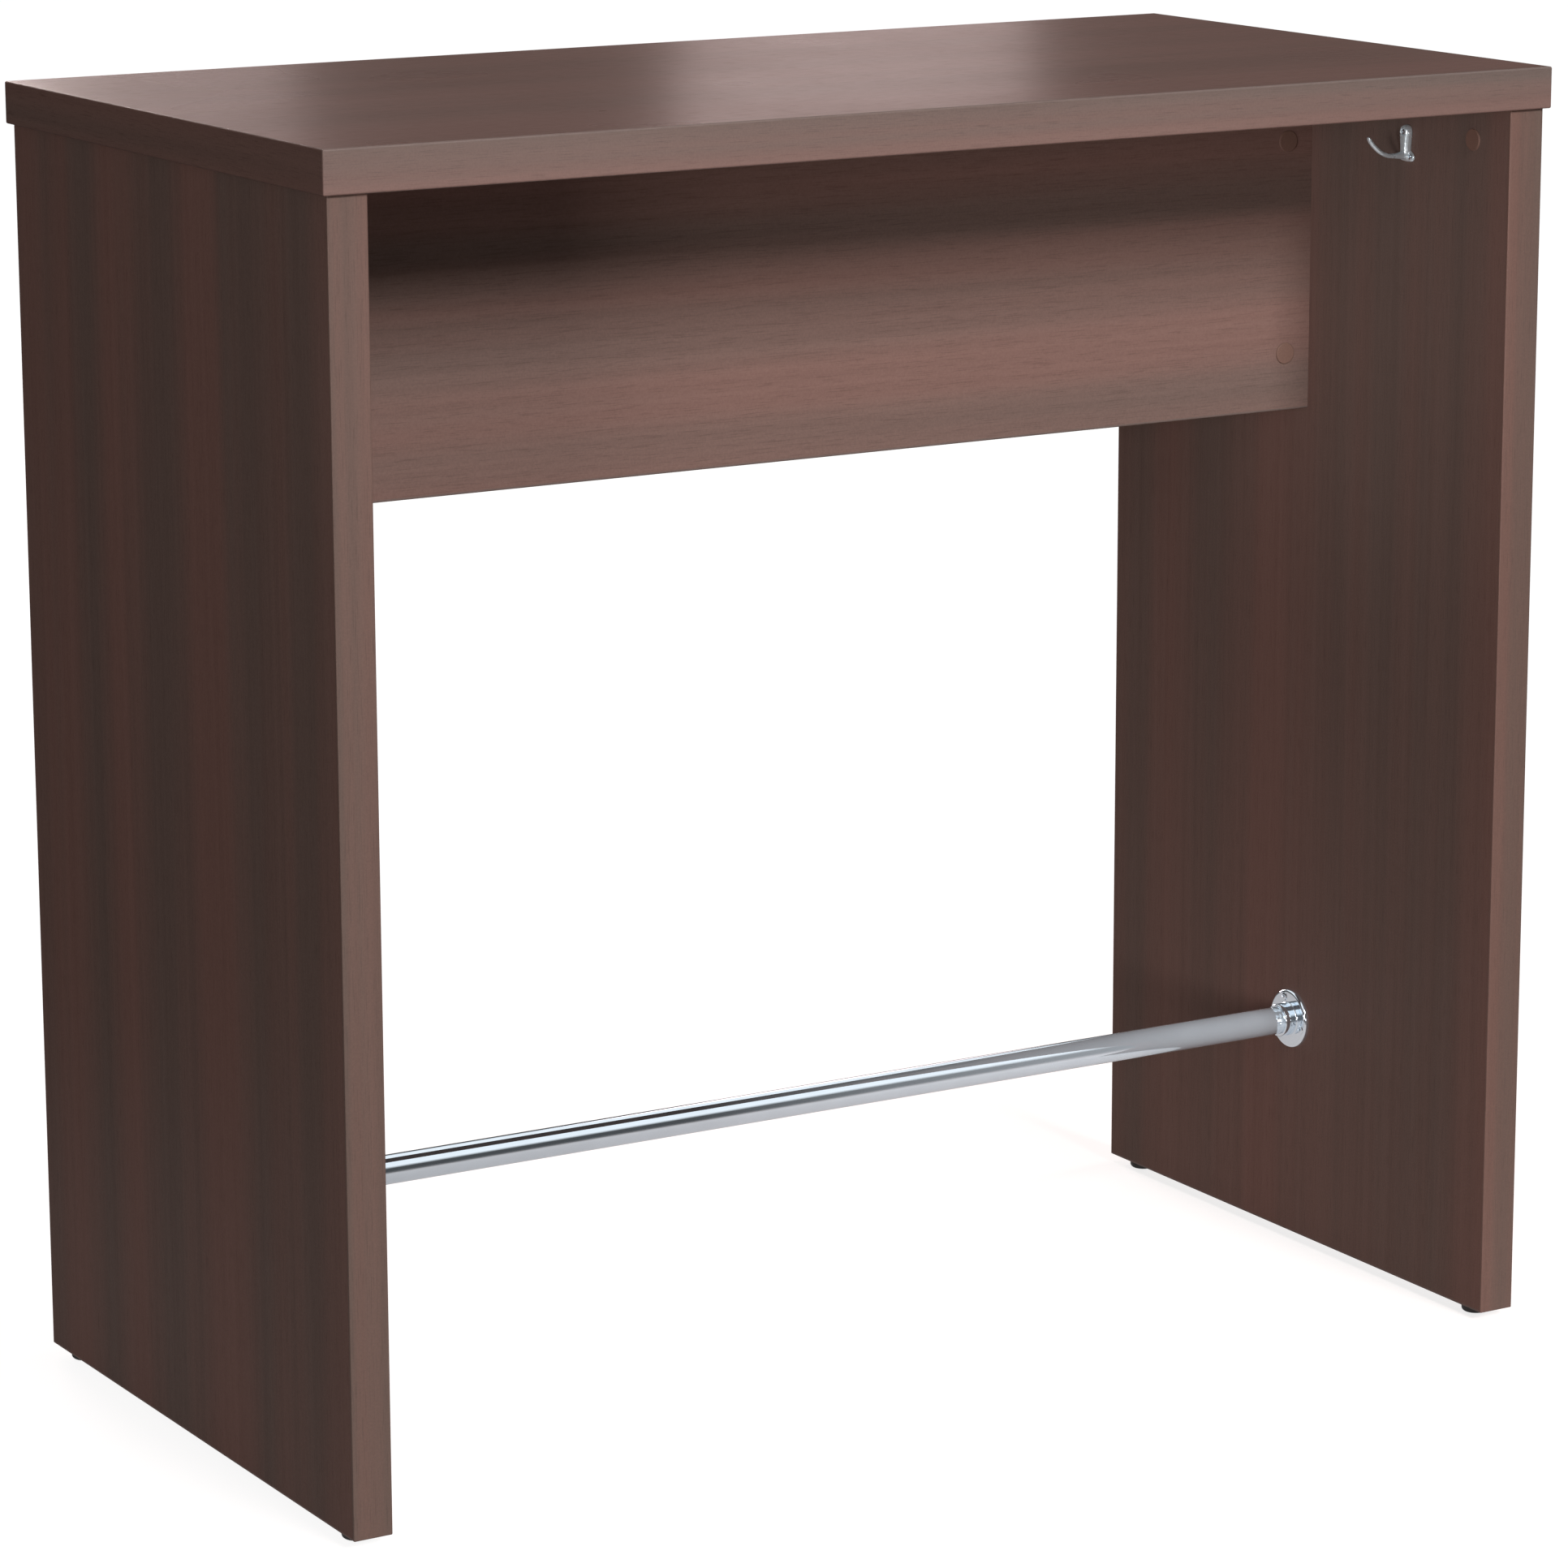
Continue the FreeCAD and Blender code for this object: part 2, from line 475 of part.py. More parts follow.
node(common("ModestyBand", modesty_slab, modesty_strip), "modesty_bottom_band")

# Joinery of the side panels and the top, four of each
cam_set = []
bolt_set = []
cap_set = []
dowel_set = []
for k, (sx, sy) in enumerate(ends):
    y = signed(sy, cam_y)
    cam_set.append(link("SideCam%d" % k, cam, "%d * (%s + Sizes.cam_sink)" % (sx, side_inner), y, cam_z,
                        turned((sx, 0, 0), (0, 0, 1))))
    bolt_set.append(link("SideBoltCopy%d" % k, side_bolt, signed(sx, bolt_x), y,
                         cam_z + " - Sizes.bolt_overrun", turned((0, 0, 1))))
    cap_set.append(link("SideCap%d" % k, cap, "%d * (%s + Sizes.cap_plug_length)" % (sx, side_inner),
                        y, cam_z, turned((-sx, 0, 0))))
    dowel_set.append(link("SideDowel%d" % k, dowel, signed(sx, side_middle),
                          signed(sy, "Sizes.side_dowel_y"), under_top + " - " + dowel_half,
                          turned((0, 0, 1))))
node(group("SideCams", cam_set), "side_cam_discs")
node(group("SideBolts", bolt_set), "side_cam_bolts")
node(group("SideCaps", cap_set), "side_cam_caps")
node(group("SideDowels", dowel_set), "side_dowels")

# Joinery of the modesty panel, four of each
cam_set = []
bolt_set = []
cap_set = []
dowel_set = []
for sx in (1, -1):
    for j, z in enumerate(modesty_cam_z):
        tag = "%s%d" % ("R" if sx > 0 else "L", j)
        x = signed(sx, modesty_cam_x)
        cam_set.append(link("ModestyCam" + tag, cam, x, "Sizes.cam_sink - " + modesty_face, z,
                            turned((0, 1, 0), (sx, 0, 0))))
        bolt_set.append(link("ModestyBoltCopy" + tag, modesty_bolt,
                             "%d * (%s - Sizes.bolt_overrun)" % (sx, modesty_cam_x), bolt_y, z,
                             turned((sx, 0, 0))))
        cap_set.append(link("ModestyCap" + tag, cap, x, "Sizes.cap_plug_length - " + modesty_face, z,
                            turned((0, -1, 0))))
    tag = "R" if sx > 0 else "L"
    dowel_set.append(link("ModestyEnd" + tag, dowel, "%d * (%s - %s)" % (sx, side_inner, dowel_half), "0",
                          modesty_low + " + Sizes.modesty_height / 2", turned((sx, 0, 0))))
    dowel_set.append(link("ModestyHead" + tag, dowel, signed(sx, "Sizes.modesty_dowel_x"), "0",
                          under_top + " - " + dowel_half, turned((0, 0, 1))))
node(group("ModestyCams", cam_set), "modesty_cam_discs")
node(group("ModestyBolts", bolt_set), "modesty_cam_bolts")
node(group("ModestyCaps", cap_set), "modesty_cam_caps")
node(group("ModestyDowels", dowel_set), "modesty_dowels")

# Foot rail: tube between the two flanges
rail = doc.addObject("PartDesign::Body", "Rail")
rail_sketch = rail.newObject("Sketcher::SketchObject", "RailSection")
rail_sketch.AttachmentSupport = (plane(rail, "XY_Plane"), [""])
rail_sketch.MapMode = "FlatFace"
for k, text in enumerate(("Sizes.rail_diameter / 2", "Sizes.rail_diameter / 2 - Sizes.rail_wall")):
    rail_sketch.addGeometry(Part.Circle(V(0, 0, 0), V(0, 0, 1), number(text)), False)
    rail_sketch.addConstraint(Sketcher.Constraint("Coincident", k, 3, -1, 1))
    index = rail_sketch.addConstraint(Sketcher.Constraint("Radius", k, number(text)))
    rail_sketch.setExpression("Constraints[%d]" % index, text)
rail_pad = rail.newObject("PartDesign::Pad", "RailLength")
rail_pad.Profile = rail_sketch
rail_pad.setExpression("Length", "2 * (%s - Sizes.rail_end_gap)" % side_inner)
put(rail, "Sizes.rail_end_gap - " + side_inner, "0", "Sizes.rail_height", turned((1, 0, 0)))
node(rail, "foot_rail")
node(flange_node("LeftFlange", -1), "left_rail_flange")
node(flange_node("RightFlange", 1), "right_rail_flange")
screw_set = []
set_set = []
for sx in (1, -1):
    tag = "R" if sx > 0 else "L"
    for k, a in enumerate(screw_angles):
        y = "%.6f * %s" % (-sx * math.sin(a), flange_circle)
        z = "Sizes.rail_height + %.6f * %s" % (math.cos(a), flange_circle)
        x = "%d * (%s - Sizes.flange_thick + Sizes.flange_screw_length)" % (sx, side_inner)
        screw_set.append(link("FlangeScrew%s%d" % (tag, k), flange_screw, x, y, z,
                              turned((-sx, 0, 0), (0, 0, 1))))
    set_set.append(link("SetScrew" + tag, set_screw, "%d * (%s - %s)" % (sx, side_inner, set_height), "0",
                        "Sizes.rail_height - Sizes.rail_diameter / 2", turned((0, 0, -1))))
node(group("FlangeScrews", screw_set), "rail_flange_screws")
node(group("SetScrews", set_set), "rail_set_screws")


def outline(points):
    # Closed smooth outline through points given as distance to the rear and up
    curve = Part.BSplineCurve()
    curve.interpolate([V(0, y, z) for y, z in points], PeriodicFlag=True)
    return Part.Wire([curve.toShape()])


def oval(centre, along, half_width, half_depth):
    # Flat oval across the prong: its width runs along Y, its depth across the prong's direction
    side = V(0, 1, 0)
    normal = along.cross(side).normalize()
    turns = [2 * math.pi * k / 12 for k in range(12)]
    curve = Part.BSplineCurve()
    curve.interpolate([centre + side * (half_width * math.cos(t)) + normal * (half_depth * math.sin(t))
                       for t in turns], PeriodicFlag=True)
    return Part.Wire([curve.toShape()])


def hook_shape():
    # Cast hook: thin wings with two lower lobes, thick spine with one upper lobe, and one upturned prong.
    # It is made about its own middle with the panel's face at X = 0 and the prong towards -X.
    unit = number("Sizes.hook_height") / hook_drawn
    plate = number("Sizes.hook_plate")
    spine = number("Sizes.hook_spine")
    reach = number("Sizes.hook_reach")
    rise = number("Sizes.hook_rise")
    half = [(0, -3.6), (4.2, -4.2), (7.2, -5.6), (9.6, -7.7), (10.3, -10.3), (8.1, -13.2), (4.2, -13.7)]
    foot = [(y * unit, z * unit) for y, z in half]
    foot = foot + [(0, -14 * unit)] + [(-y, z) for y, z in foot[:0:-1]]
    half = [(0, 18), (4.4, 16.2), (6.2, 11.8), (5.6, 6), (4.9, -1), (4.7, -6), (3.8, -10.4)]
    back = [(y * unit, z * unit) for y, z in half]
    back = back + [(0, -12.2 * unit)] + [(-y, z) for y, z in back[:0:-1]]
    low = Part.Face(outline(foot)).extrude(V(-plate, 0, 0))
    high = Part.Face(outline(back)).extrude(V(-spine, 0, 0))
    low = low.makeFillet(plate * 0.16, [e for e in low.Edges if abs(e.CenterOfMass.x + plate) < 1e-3])
    high = high.makeFillet(spine * 0.3, [e for e in high.Edges if abs(e.CenterOfMass.x + spine) < 1e-3])
    root = V(-plate / 2, 0, -7.6 * unit)
    start = spine - plate / 2
    path = [(0, 0), (start, -0.6), (start + 0.21 * reach, -0.04 * rise), (start + 0.45 * reach, 0.02 * rise),
            (start + 0.67 * reach, 0.235 * rise), (start + 0.86 * reach, 0.58 * rise),
            (start + 0.965 * reach, 0.845 * rise), (start + reach, rise)]
    ovals = [(3.9, 4.6), (3.5, 3.4), (3.1, 2.3), (3.0, 2.0), (3.0, 1.85), (3.0, 1.8), (2.7, 1.6), (1.3, 0.9)]
    spots = [root + V(-u, 0, w) for u, w in path]
    wires = []
    for k, (wide, deep) in enumerate(ovals):
        ahead = spots[min(k + 1, len(spots) - 1)]
        behind = spots[max(k - 1, 0)]
        along = V(-1, 0, 0) if k < 2 else (ahead - behind).normalize()
        wires.append(oval(spots[k], along, wide * unit, deep * unit))
    prong = Part.makeLoft(wires, True, False)
    solid = low.fuse(high).fuse(prong).Solids[0]
    radius = number("Sizes.hook_screw_diameter") / 2
    gap = number("Sizes.screw_gap")
    for dy, dz, lift in hook_places():
        foot_end = V(1, dy, dz)
        shank = Part.makeCylinder(radius + gap, lift + 2, foot_end, V(-1, 0, 0))
        sink = Part.makeCone(radius + gap, 2 * radius + 1.5 * gap, radius + gap / 2,
                             V(radius + gap / 2 - lift, dy, dz), V(-1, 0, 0))
        mouth = Part.makeCylinder(2 * radius + 1.5 * gap, spine, V(-lift, dy, dz), V(-1, 0, 0))
        solid = solid.cut(shank.fuse(sink).fuse(mouth)).Solids[0]
    return solid


hook = doc.addObject("Part::Feature", "Hook")
hook.Shape = hook_shape()
put(hook, side_inner, "-Sizes.hook_y", hook_z)
node(hook, "bag_hook")
hook_set = []
for k, (dy, dz, lift) in enumerate(hook_places()):
    hook_set.append(link("HookScrewCopy%d" % k, hook_screw,
                         "%s - %.4f + Sizes.hook_screw_length" % (side_inner, lift),
                         "%.4f - Sizes.hook_y" % dy, "%s + %.4f" % (hook_z, dz),
                         turned((-1, 0, 0), (0, 0, 1))))
node(group("HookScrews", hook_set), "hook_screws")

# Levelling feet, one at each corner
sleeve_set = []
for sx, side in ((-1, "left"), (1, "right")):
    for sy, end in ((-1, "front"), (1, "rear")):
        tag = side.capitalize() + end.capitalize()
        x = signed(sx, side_middle)
        y = signed(sy, foot_y)
        sleeve_set.append(link("Sleeve" + tag, sleeve, x, y, "Sizes.foot_height", turned((0, 0, 1))))
        pad = group("Pad" + tag, [link("PadCopy" + tag, foot_pad, x, y, "0", turned((0, 0, 1)))])
        stem = group("Stem" + tag, [link("StemCopy" + tag, foot_stem, x, y,
                                         "Sizes.foot_height - Sizes.stem_seat", turned((0, 0, 1)))])
        node(pad, "%s_%s_foot_pad" % (side, end))
        node(stem, "%s_%s_foot_stem" % (side, end))
node(group("Sleeves", sleeve_set), "foot_sleeves")

doc.recompute()
for item in doc.Objects:
    if any(word in item.State for word in ("Invalid", "Error")):
        raise RuntimeError("%s failed: %s" % (item.Name, item.State))
for item in nodes:
    if item.Shape.isNull() or not item.Shape.isValid():
        raise RuntimeError("%s has no sound shape" % item.Label)

os.makedirs("parts", exist_ok=True)
for item in nodes:
    item.Shape.exportStep("parts/%s.step" % item.Label)
    print("%-26s %d solid %12.1f mm3" % (item.Label, len(item.Shape.Solids), item.Shape.Volume))
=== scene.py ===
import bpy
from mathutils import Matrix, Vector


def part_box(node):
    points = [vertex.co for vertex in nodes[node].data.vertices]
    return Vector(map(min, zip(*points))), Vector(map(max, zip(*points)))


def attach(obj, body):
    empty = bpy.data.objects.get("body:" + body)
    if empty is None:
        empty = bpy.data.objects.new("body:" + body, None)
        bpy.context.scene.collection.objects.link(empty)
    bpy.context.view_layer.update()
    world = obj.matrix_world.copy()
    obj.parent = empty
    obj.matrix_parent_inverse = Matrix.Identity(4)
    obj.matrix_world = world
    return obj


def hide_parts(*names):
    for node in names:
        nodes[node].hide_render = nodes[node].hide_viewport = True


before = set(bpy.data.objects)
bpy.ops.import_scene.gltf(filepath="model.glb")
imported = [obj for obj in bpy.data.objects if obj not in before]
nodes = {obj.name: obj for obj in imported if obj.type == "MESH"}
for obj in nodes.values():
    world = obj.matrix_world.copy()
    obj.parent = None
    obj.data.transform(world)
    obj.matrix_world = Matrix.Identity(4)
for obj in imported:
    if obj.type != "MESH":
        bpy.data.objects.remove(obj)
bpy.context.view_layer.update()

import bmesh
import bpy
import numpy as np
from mathutils import Matrix, Quaternion, Vector

scene = bpy.context.scene
scene.view_settings.view_transform = "Standard"
mm = 0.001
noiseSpan = (0.3, 0.7)    # where nearly all values of a noise lie


# Shader building blocks

def startMaterial(name):
    material = bpy.data.materials.new(name)
    material.use_nodes = True
    tree = material.node_tree
    place = tree.nodes.new("ShaderNodeTexCoord").outputs["Object"]
    return material, tree, tree.nodes["Principled BSDF"], place


def noise(tree, vector, scale, detail, rough, shift=(0, 0, 0)):
    # fractal noise on coordinates stretched by one scale for each axis
    mapping = tree.nodes.new("ShaderNodeMapping")
    mapping.inputs["Scale"].default_value = scale
    mapping.inputs["Location"].default_value = shift
    tree.links.new(vector, mapping.inputs["Vector"])
    texture = tree.nodes.new("ShaderNodeTexNoise")
    texture.inputs["Scale"].default_value = 1.0
    texture.inputs["Detail"].default_value = detail
    texture.inputs["Roughness"].default_value = rough
    tree.links.new(mapping.outputs["Vector"], texture.inputs["Vector"])
    return texture.outputs["Fac"]


def spread(tree, value, low, high, outLow, outHigh):
    # straight-line map of a value from one range to another, clamped
    mapRange = tree.nodes.new("ShaderNodeMapRange")
    ends = {"From Min": low, "From Max": high, "To Min": outLow, "To Max": outHigh}
    for key, number in ends.items():
        mapRange.inputs[key].default_value = number
    tree.links.new(value, mapRange.inputs["Value"])
    return mapRange.outputs["Result"]


def combine(tree, kind, a, b):
    node = tree.nodes.new("ShaderNodeMath")
    node.operation = kind
    for socket, value in zip(node.inputs, (a, b)):
        if isinstance(value, (int, float)):
            socket.default_value = value
        else:
            tree.links.new(value, socket)
    return node.outputs["Value"]


def blendColours(tree, factor, a, b, mode="MIX"):
    mix = tree.nodes.new("ShaderNodeMix")
    mix.data_type = "RGBA"
    mix.blend_type = mode
    sockets = [mix.inputs["Factor"], mix.inputs[6], mix.inputs[7]]    # 6 and 7 are the colours A and B
    for socket, value in zip(sockets, (factor, a, b)):
        if isinstance(value, bpy.types.NodeSocket):
            tree.links.new(value, socket)
        elif isinstance(value, (int, float)):
            socket.default_value = value
        else:
            socket.default_value = (*value, 1.0)
    return mix.outputs[2]    # the blended colour


def addBump(tree, shader, height, strength, distance):
    bump = tree.nodes.new("ShaderNodeBump")
    bump.inputs["Strength"].default_value = strength
    bump.inputs["Distance"].default_value = distance
    tree.links.new(height, bump.inputs["Height"])
    tree.links.new(bump.outputs["Normal"], shader.inputs["Normal"])


def lengthwise(axis, along, across):
    # scale triple with one value along the given axis and another across it
    return tuple(along if letter == axis else across for letter in "XYZ")


def dress(material, *names):
    for name in names:
        target = nodes[name]
        if not target.material_slots:
            target.data.materials.append(material)
        for slot in target.material_slots:
            slot.material = material


# Woodgrain laminate of the boards, and the satin edging printed to match it
# (scales are in waves per metre, and each detail is a noise's octaves and their roughness)

laminateLook = {
    "redBrown": (0.182, 0.108, 0.092),
    "greyBrown": (0.138, 0.1, 0.087),
    "bandAcross": 15.0,           # broad red and grey bands
    "bandAlong": 0.35,
    "bandDetail": (2.0, 0.45),
    "bandSpan": (0.36, 0.64),
    "streakAcross": 120.0,        # fine streaks
    "streakAlong": 1.6,
    "streakDetail": (3.0, 0.55),
    "streakShade": (0.94, 1.055),
    "poreAcross": 1400.0,         # short dark pores
    "poreAlong": 45.0,
    "poreDetail": (1.0, 0.5),
    "poreSpan": (0.57, 0.7),
    "poreShade": 0.84,
    "poreRough": 0.1,
    "speck": 620.0,               # press texture
    "speckDetail": (1.0, 0.5),
    "speckShade": (0.95, 1.05),
    "speckRise": 0.3,
    "smear": 3.0,                 # patches in the gloss
    "smearDetail": (2.0, 0.6),
    "smearSpan": (0.35, 0.65),
    "roughness": (0.27, 0.31),
    "specular": 0.018,
    "bump": (0.12, 0.0002),       # strength and depth
    "seedStep": (3.17, 5.71, 1.93),
}
# the top's redder grey and the side edgings' redder, darker browns are lit and shaded copies of the one
# laminate: painted light and shade
topPaintedLightLook = {**laminateLook, "greyBrown": (0.162, 0.101, 0.086)}
edgingLook = {**laminateLook, "bandAcross": 46.0, "roughness": (0.52, 0.6), "specular": 0.4}
sideEdgingPaintedShade = {**edgingLook, "redBrown": (0.194, 0.106, 0.085), "greyBrown": (0.148, 0.098, 0.08)}

# axis of the grain, seed that picks its own stretch of grain, tint, finish, and the nodes that wear it; the
# tints are painted light and shade, darkening the side edgings and left panel and lightening the modesty
# panel for how each is lit
boardLooks = {
    "topLaminate": ("X", 1.0, 0.93, topPaintedLightLook, ["top_panel"]),
    "topLongEdging": ("X", 2.3, 0.91, edgingLook, ["top_front_band", "top_rear_band"]),
    "topShortEdging": ("Y", 3.1, 0.88, laminateLook, ["top_left_band", "top_right_band"]),
    "leftLaminate": ("Z", 4.7, 0.92, laminateLook, ["left_side_panel"]),
    "rightLaminate": ("Z", 5.9, 1.0, laminateLook, ["right_side_panel"]),
    "leftEdging": ("Z", 6.4, 0.72, sideEdgingPaintedShade, ["left_side_front_band", "left_side_rear_band"]),
    "rightEdging": ("Z", 7.2, 0.74, sideEdgingPaintedShade, ["right_side_front_band", "right_side_rear_band"]),
    "lowEdging": ("Y", 8.8, 0.9, edgingLook, ["left_side_bottom_band", "right_side_bottom_band"]),
    "modestyLaminate": ("X", 11.4, 1.07, laminateLook, ["modesty_panel"]),
    "modestyEdging": ("X", 10.2, 0.9, edgingLook, ["modesty_bottom_band"]),
}


def laminate(name, axis, seed, paintedLightTint, look):
    # bands of two browns along the grain, shaded by streaks, specks and dark pores
    material, tree, shader, place = startMaterial(name)
    shift = [seed * step for step in look["seedStep"]]

    def grain(kind):
        scale = lengthwise(axis, look[kind + "Along"], look[kind + "Across"])
        return noise(tree, place, scale, *look[kind + "Detail"], shift)

    def evenly(kind):
        return noise(tree, place, (look[kind],) * 3, *look[kind + "Detail"], shift)

    bands = spread(tree, grain("band"), *look["bandSpan"], 0.0, 1.0)
    streaks = grain("streak")
    pores = spread(tree, grain("pore"), *look["poreSpan"], 0.0, 1.0)
    specks = evenly("speck")
    smears = evenly("smear")
    # the tint paints the board lighter or darker for how it is lit: painted light and shade
    red = [channel * paintedLightTint for channel in look["redBrown"]]
    grey = [channel * paintedLightTint for channel in look["greyBrown"]]
    shade = combine(tree, "MULTIPLY", spread(tree, streaks, *noiseSpan, *look["streakShade"]),
                    spread(tree, specks, *noiseSpan, *look["speckShade"]))
    shade = combine(tree, "MULTIPLY", shade, spread(tree, pores, 0.0, 1.0, 1.0, look["poreShade"]))
    colour = blendColours(tree, 1.0, blendColours(tree, bands, grey, red), shade, "MULTIPLY")
    tree.links.new(colour, shader.inputs["Base Color"])
    gloss = combine(tree, "ADD", spread(tree, smears, *look["smearSpan"], *look["roughness"]),
                    spread(tree, pores, 0.0, 1.0, 0.0, look["poreRough"]))
    tree.links.new(gloss, shader.inputs["Roughness"])
    shader.inputs["Specular IOR Level"].default_value = look["specular"]
    rise = spread(tree, specks, *noiseSpan, 0.0, look["speckRise"])
    addBump(tree, shader, combine(tree, "SUBTRACT", rise, pores), *look["bump"])
    return material


for name, (axis, seed, paintedLightTint, look, wearers) in boardLooks.items():
    dress(laminate(name, axis, seed, paintedLightTint, look), *wearers)
print("laminate and edging laid on the boards")


# Chrome plating, with a faint haze, and with hairlines along the piece where an axis is given

chromeLook = {
    "colour": (0.82, 0.91, 0.99),
    "metallic": 0.93,
    "specular": 0.5,
    "roughness": (0.03, 0.055),
    "haze": 28.0,
    "hazeDetail": (3.0, 0.6),
    "hazeSpan": (0.35, 0.7),
    "hazeShade": 0.95,
    "hairAcross": 900.0,
    "hairAlong": 6.0,
    "hairDetail": (2.0, 0.5),
    "hairSpan": (0.55, 0.75),
    "hairRough": 0.03,
    "bump": (0.02, 0.0001),
}


def chromePlate(name, axis, seed, look):
    material, tree, shader, place = startMaterial(name)
    shift = (seed,) * 3
    haze = noise(tree, place, (look["haze"],) * 3, *look["hazeDetail"], shift)
    hairScale = lengthwise(axis, look["hairAlong"], look["hairAcross"])
    hairs = noise(tree, place, hairScale, *look["hairDetail"], shift)
    gloss = combine(tree, "ADD", spread(tree, haze, *look["hazeSpan"], *look["roughness"]),
                    spread(tree, hairs, *look["hairSpan"], 0.0, look["hairRough"]))
    tree.links.new(gloss, shader.inputs["Roughness"])
    tone = spread(tree, haze, *noiseSpan, 1.0, look["hazeShade"])
    colour = blendColours(tree, 1.0, look["colour"], tone, "MULTIPLY")
    tree.links.new(colour, shader.inputs["Base Color"])
    shader.inputs["Metallic"].default_value = look["metallic"]
    shader.inputs["Specular IOR Level"].default_value = look["specular"]
    if "paintedLightMetallic" in look:
        # painted light: the metallic falls along the X axis, so the rail's right end takes more diffuse
        # light and renders lighter
        split = tree.nodes.new("ShaderNodeSeparateXYZ")
        tree.links.new(place, split.inputs["Vector"])
        clear = spread(tree, split.outputs["X"], *look["paintedLightRun"], look["metallic"], look["paintedLightMetallic"])
        tree.links.new(clear, shader.inputs["Metallic"])
    addBump(tree, shader, hairs, *look["bump"])
    return material


flangeChrome = chromePlate("flangeChrome", None, 1.0, chromeLook)
screwChrome = chromePlate("screwChrome", None, 2.0, chromeLook)
dress(flangeChrome, "left_rail_flange", "right_rail_flange")
dress(screwChrome, "rail_flange_screws", "hook_screws", "rail_set_screws")


# Plain metals and mouldings: two tones in patches, specks and a fine surface texture

plainLook = {
    "metallic": 0.0,
    "specular": 0.5,
    "mottle": 60.0,
    "mottleDetail": (3.0, 0.6),
    "grain": 1500.0,
    "grainDetail": (2.0, 0.5),
    "grainShade": (0.92, 1.08),
    "bump": 0.1,
    "bumpDepth": 0.0002,
}
fittingLooks = {
    "capMoulding": {"colour": (0.186, 0.108, 0.085), "dark": (0.164, 0.096, 0.076),
                    "roughness": (0.36, 0.46), "bump": 0.15, "specular": 0.2},
    "castZinc": {"colour": (0.55, 0.55, 0.56), "dark": (0.4, 0.4, 0.42),
                 "roughness": (0.35, 0.5), "metallic": 1.0},
    "platedBolt": {"colour": (0.66, 0.64, 0.58), "dark": (0.5, 0.49, 0.47),
                   "roughness": (0.25, 0.4), "metallic": 1.0},
    "beechDowel": {"colour": (0.62, 0.45, 0.28), "dark": (0.5, 0.34, 0.2),
                   "roughness": (0.55, 0.7), "grain": 600.0},
    "footNylon": {"colour": (0.02, 0.019, 0.018), "dark": (0.013, 0.012, 0.012),
                  "roughness": (0.42, 0.58), "bump": 0.2},
    "stemSteel": {"colour": (0.62, 0.61, 0.57), "dark": (0.45, 0.45, 0.44),
                  "roughness": (0.26, 0.42), "metallic": 1.0},
}
corners = ("left_front", "left_rear", "right_front", "right_rear")


def mottled(name):
    look = {**plainLook, **fittingLooks[name]}
    material, tree, shader, place = startMaterial(name)
    patches = noise(tree, place, (look["mottle"],) * 3, *look["mottleDetail"])
    specks = noise(tree, place, (look["grain"],) * 3, *look["grainDetail"])
    mixed = blendColours(tree, spread(tree, patches, *noiseSpan, 0.0, 1.0), look["dark"], look["colour"])
    shade = spread(tree, specks, *noiseSpan, *look["grainShade"])
    tree.links.new(blendColours(tree, 1.0, mixed, shade, "MULTIPLY"), shader.inputs["Base Color"])
    smooth, coarse = look["roughness"]
    tree.links.new(spread(tree, patches, *noiseSpan, coarse, smooth), shader.inputs["Roughness"])
    shader.inputs["Metallic"].default_value = look["metallic"]
    shader.inputs["Specular IOR Level"].default_value = look["specular"]
    addBump(tree, shader, specks, look["bump"], look["bumpDepth"])
    return material


dress(mottled("capMoulding"), "side_cam_caps", "modesty_cam_caps")
dress(mottled("castZinc"), "side_cam_discs", "modesty_cam_discs")
dress(mottled("platedBolt"), "side_cam_bolts", "modesty_cam_bolts", "foot_sleeves")
dress(mottled("beechDowel"), "side_dowels", "modesty_dowels")
dress(mottled("footNylon"), *[corner + "_foot_pad" for corner in corners])
print("fittings plated, moulded and turned")


# Surfaces from grids of points

def shadeSmooth(mesh):
    mesh.polygons.foreach_set("use_smooth", np.ones(len(mesh.polygons), dtype=bool))


def surface(name, grid, wrapU=False, wrapV=False):
    # quads between neighbouring rows and columns of a grid, closed round where a direction wraps
    nu, nv = grid.shape[:2]
    i = np.arange(nu if wrapU else nu - 1)[:, None]
    j = np.arange(nv if wrapV else nv - 1)[None, :]
    i2 = (i + 1) % nu
    j2 = (j + 1) % nv
    quads = np.stack([i * nv + j, i2 * nv + j, i2 * nv + j2, i * nv + j2], axis=-1).reshape(-1, 4)
    mesh = bpy.data.meshes.new(name)
    mesh.from_pydata(grid.reshape(-1, 3).tolist(), [], quads.tolist())
    weld = bmesh.new()
    weld.from_mesh(mesh)
    bmesh.ops.remove_doubles(weld, verts=weld.verts, dist=1e-7)    # closes the poles
    bmesh.ops.recalc_face_normals(weld, faces=weld.faces)
    weld.to_mesh(mesh)
    weld.free()
    shadeSmooth(mesh)
    obj = bpy.data.objects.new(name, mesh)
    scene.collection.objects.link(obj)
    return obj


def lathe(profile, steps):
    # radius and height carried round the Z axis: x is r cos t, y is r sin t
    t = np.linspace(0, 2 * np.pi, steps, endpoint=False)[None, :]
    r = profile[:, 0:1]
    h = np.repeat(profile[:, 1:2], steps, axis=1)
    return np.stack([r * np.cos(t), r * np.sin(t), h], axis=-1)


def finishPiece(obj, material, body, slot, *replaced):
    obj.data.materials.append(material)
    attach(obj, body)
    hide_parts(*replaced)
    return obj


# Foot rail: a closed wall section, outside and inside, carried round the tube's axis

railLook = {
    "wall": 0.0015,
    "chamfer": 0.0004,
    "steps": 128,
    "rings": 24,
    # the rail's metallic falls towards its right end so that end renders lighter: painted light
    "plate": {**chromeLook, "colour": (0.81, 0.91, 1.0), "metallic": 0.97,
              "paintedLightMetallic": 0.64, "paintedLightRun": (-0.1, 0.42)},
}


